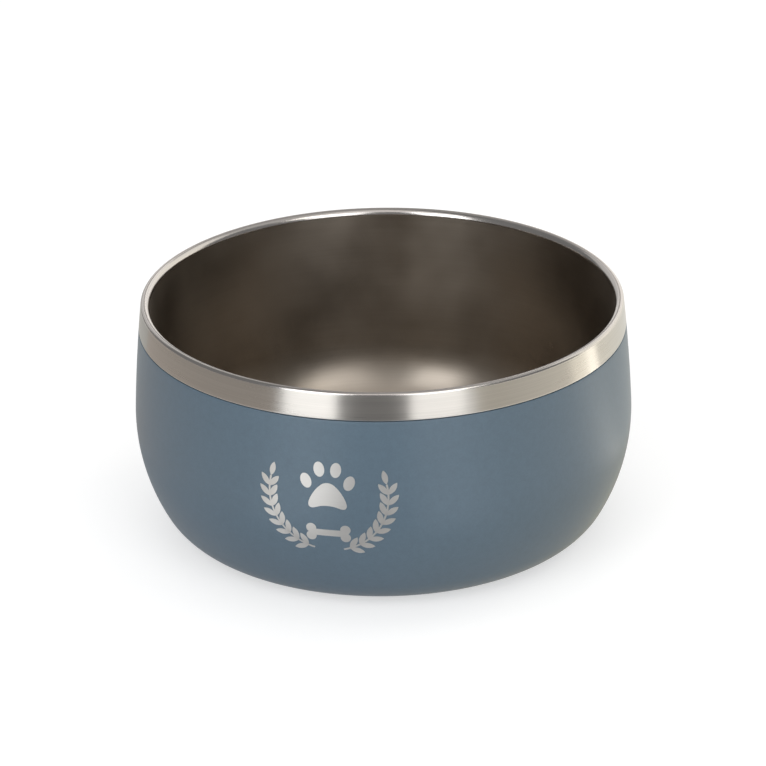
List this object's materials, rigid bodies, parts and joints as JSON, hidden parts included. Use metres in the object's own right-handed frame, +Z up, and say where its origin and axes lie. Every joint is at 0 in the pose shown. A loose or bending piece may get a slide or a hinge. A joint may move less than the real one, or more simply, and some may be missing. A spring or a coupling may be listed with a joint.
{
  "type": "dog bowl",
  "caption": "Round double-wall steel pet bowl with a rounded coated body, a bare brushed rim band and a rubber foot ring.",
  "frame": {"origin": "centre of the plane that the foot ring stands on", "axes": "+Z up along the bowl's axis, the marked front faces -Y, +X to the right seen from the front"},
  "size_m": [0.1868, 0.1868, 0.0912],
  "materials": {
    "brushed_steel": "brushed, satin inside",
    "slate_coat": "satin powder coat with a fine grain",
    "mill_steel": "plain rolled sheet",
    "black_rubber": "matt moulded",
    "solder_glass": "fused, glossy",
    "sintered_metal": "sintered, matt",
    "spring_steel": "plain strip"
  },
  "bodies": {
    "root": {"inner_bowl": "brushed_steel", "outer_shell": "slate_coat", "base_plate": "mill_steel", "non_slip_ring": "black_rubber", "sealing_bead": "solder_glass", "getter": "sintered_metal", "getter_clip": "spring_steel"}
  },
  "joints": []
}
